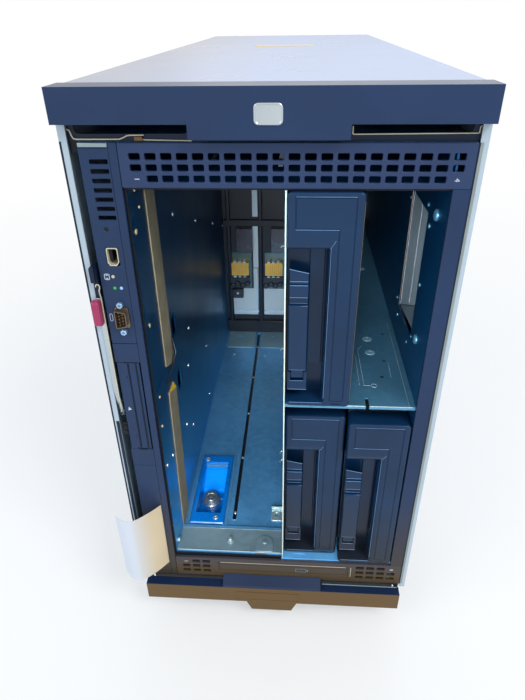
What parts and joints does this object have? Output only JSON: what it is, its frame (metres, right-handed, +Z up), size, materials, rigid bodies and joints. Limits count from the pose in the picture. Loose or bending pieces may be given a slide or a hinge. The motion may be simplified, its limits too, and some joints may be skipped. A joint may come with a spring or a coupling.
{
  "type": "blade server chassis",
  "caption": "Floor-standing tower chassis on casters for blade servers in upper and lower bays, with blanks, a management strip, a disc drive, fans and power supplies.",
  "frame": {"origin": "on the floor, under the middle of the chassis", "axes": "+Z up, +X to the right seen from the front, the front faces -Y"},
  "size_m": [0.2923, 0.8317, 0.54],
  "materials": {
    "cover_paint": "satin painted steel",
    "slate_plastic": "fine moulded texture",
    "side_paint": "satin painted steel",
    "galvanized": "zinc spangle",
    "bright_steel": "bright sheet",
    "blue_latch": "moulded, satin",
    "tan_foam": "foam strip",
    "card": "card",
    "circuit_board": "solder mask",
    "contacts": "plated contacts",
    "wine_grip": "touch point",
    "lamp": "light pipe",
    "screen_glass": "display window",
    "black_plastic": "moulded",
    "supply_zinc": "zinc plated",
    "tread": "caster tread"
  },
  "bodies": {
    "chassis": {"top_cover": "cover_paint", "top_bezel": "slate_plastic", "badge_plate": "bright_steel", "side_panel_left": "side_paint", "side_panel_right": "side_paint", "base_tray": "galvanized", "base_bezel": "slate_plastic", "chassis_roof": "galvanized", "chassis_floor": "galvanized", "chassis_skins": "galvanized", "bay_wall_left": "galvanized", "bay_wall_right": "galvanized", "bay_floor": "galvanized", "rear_frame": "galvanized", "rear_cage": "galvanized", "front_uprights": "slate_plastic", "upper_vent_strip": "slate_plastic", "lower_vent_strip": "slate_plastic", "midplane_frame": "galvanized", "midplane_boards": "circuit_board", "bay_connectors": "contacts", "bay_divider": "bright_steel", "mid_shelf": "galvanized", "latch_housing": "blue_latch", "gasket_strip": "tan_foam", "chassis_fasteners": "bright_steel", "strip_covers": "slate_plastic", "info_tag": "card", "drive_body": "galvanized", "fan_cases": "black_plastic", "caster_mounts": "bright_steel"},
    "latch_knob": {"latch_knob": "bright_steel"},
    "management_tray": {"module_case": "slate_plastic", "module_ports": "bright_steel", "status_lights": "lamp"},
    "reset_button": {"reset_button": "black_plastic"},
    "release_lever": {"release_lever": "bright_steel", "lever_grip": "wine_grip"},
    "display": {"display_sled": "slate_plastic", "display_screen": "screen_glass"},
    "drive_tray": {"drive_tray": "slate_plastic"},
    "eject_button": {"eject_button": "slate_plastic"},
    "blank_3": {"blank_3": "slate_plastic"},
    "blank_7": {"blank_7": "slate_plastic"},
    "blank_8": {"blank_8": "slate_plastic"},
    "blank_lever_3": {"blank_lever_3": "slate_plastic"},
    "blank_lever_7": {"blank_lever_7": "slate_plastic"},
    "blank_lever_8": {"blank_lever_8": "slate_plastic"},
    "fan_rotor_1": {"fan_rotor_1": "black_plastic"},
    "fan_rotor_2": {"fan_rotor_2": "black_plastic"},
    "fan_rotor_3": {"fan_rotor_3": "black_plastic"},
    "fan_rotor_4": {"fan_rotor_4": "black_plastic"},
    "power_supply_1": {"power_supply_1": "supply_zinc"},
    "power_supply_2": {"power_supply_2": "supply_zinc"},
    "caster_fork_left": {"caster_fork_left": "bright_steel"},
    "caster_fork_right": {"caster_fork_right": "bright_steel"},
    "wheel_front_left": {"wheel_front_left": "tread"},
    "wheel_front_right": {"wheel_front_right": "tread"},
    "wheel_rear_left": {"wheel_rear_left": "tread"},
    "wheel_rear_right": {"wheel_rear_right": "tread"}
  },
  "joints": [
    {"name": "latch_knob_turn", "type": "hinge", "parent": "chassis", "child": "latch_knob", "pos_m": [-0.0768, -0.3025, 0.082], "axis": [0, 0, 1], "range_deg": [0, 90]},
    {"name": "management_tray_slide", "type": "slide", "parent": "chassis", "child": "management_tray", "axis": [0, -1, 0], "range_m": [0, 0.22]},
    {"name": "reset_button_press", "type": "slide", "parent": "management_tray", "child": "reset_button", "axis": [0, 1, 0], "range_m": [0, 0.001], "stiffness_N_per_m": 400, "springref_m": -0.0005},
    {"name": "release_lever_pull", "type": "hinge", "parent": "chassis", "child": "release_lever", "pos_m": [-0.1324, -0.3825, 0.273], "axis": [1, 0, 0], "range_deg": [0, 60]},
    {"name": "display_slide", "type": "slide", "parent": "chassis", "child": "display", "axis": [0, -1, 0], "range_m": [0, 0.11]},
    {"name": "drive_tray_slide", "type": "slide", "parent": "chassis", "child": "drive_tray", "axis": [0, -1, 0], "range_m": [0, 0.1]},
    {"name": "eject_button_press", "type": "slide", "parent": "drive_tray", "child": "eject_button", "axis": [0, 1, 0], "range_m": [0, 0.0008], "stiffness_N_per_m": 300, "springref_m": -0.0005},
    {"name": "blank_3_slide", "type": "slide", "parent": "chassis", "child": "blank_3", "axis": [0, -1, 0], "range_m": [0, 0.16]},
    {"name": "blank_lever_3_pull", "type": "hinge", "parent": "blank_3", "child": "blank_lever_3", "pos_m": [0.02165, -0.3835, 0.318], "axis": [1, 0, 0], "range_deg": [0, 50]},
    {"name": "blank_7_slide", "type": "slide", "parent": "chassis", "child": "blank_7", "axis": [0, -1, 0], "range_m": [0, 0.16]},
    {"name": "blank_lever_7_pull", "type": "hinge", "parent": "blank_7", "child": "blank_lever_7", "pos_m": [0.02165, -0.3735, 0.1165], "axis": [1, 0, 0], "range_deg": [0, 50]},
    {"name": "blank_8_slide", "type": "slide", "parent": "chassis", "child": "blank_8", "axis": [0, -1, 0], "range_m": [0, 0.16]},
    {"name": "blank_lever_8_pull", "type": "hinge", "parent": "blank_8", "child": "blank_lever_8", "pos_m": [0.07765, -0.3835, 0.1165], "axis": [1, 0, 0], "range_deg": [0, 50]},
    {"name": "fan_1_spin", "type": "hinge", "parent": "chassis", "child": "fan_rotor_1", "pos_m": [-0.08505, 0.367, 0.36595], "axis": [0, 1, 0], "continuous": true},
    {"name": "fan_2_spin", "type": "hinge", "parent": "chassis", "child": "fan_rotor_2", "pos_m": [-0.08505, 0.367, 0.45785], "axis": [0, 1, 0], "continuous": true},
    {"name": "fan_3_spin", "type": "hinge", "parent": "chassis", "child": "fan_rotor_3", "pos_m": [0.08595, 0.367, 0.36595], "axis": [0, 1, 0], "continuous": true},
    {"name": "fan_4_spin", "type": "hinge", "parent": "chassis", "child": "fan_rotor_4", "pos_m": [0.08595, 0.367, 0.45785], "axis": [0, 1, 0], "continuous": true},
    {"name": "power_supply_1_slide", "type": "slide", "parent": "chassis", "child": "power_supply_1", "axis": [0, 1, 0], "range_m": [0, 0.25]},
    {"name": "power_supply_2_slide", "type": "slide", "parent": "chassis", "child": "power_supply_2", "axis": [0, 1, 0], "range_m": [0, 0.25]},
    {"name": "caster_left_swivel", "type": "hinge", "parent": "chassis", "child": "caster_fork_left", "pos_m": [-0.095, -0.3305, 0.041], "axis": [0, 0, 1], "continuous": true},
    {"name": "caster_right_swivel", "type": "hinge", "parent": "chassis", "child": "caster_fork_right", "pos_m": [0.095, -0.3305, 0.041], "axis": [0, 0, 1], "continuous": true},
    {"name": "wheel_front_left_spin", "type": "hinge", "parent": "caster_fork_left", "child": "wheel_front_left", "pos_m": [-0.095, -0.3165, 0.018], "axis": [1, 0, 0], "continuous": true},
    {"name": "wheel_rear_left_spin", "type": "hinge", "parent": "chassis", "child": "wheel_rear_left", "pos_m": [-0.095, 0.3325, 0.018], "axis": [1, 0, 0], "continuous": true},
    {"name": "wheel_front_right_spin", "type": "hinge", "parent": "caster_fork_right", "child": "wheel_front_right", "pos_m": [0.095, -0.3165, 0.018], "axis": [1, 0, 0], "continuous": true},
    {"name": "wheel_rear_right_spin", "type": "hinge", "parent": "chassis", "child": "wheel_rear_right", "pos_m": [0.095, 0.3325, 0.018], "axis": [1, 0, 0], "continuous": true}
  ]
}
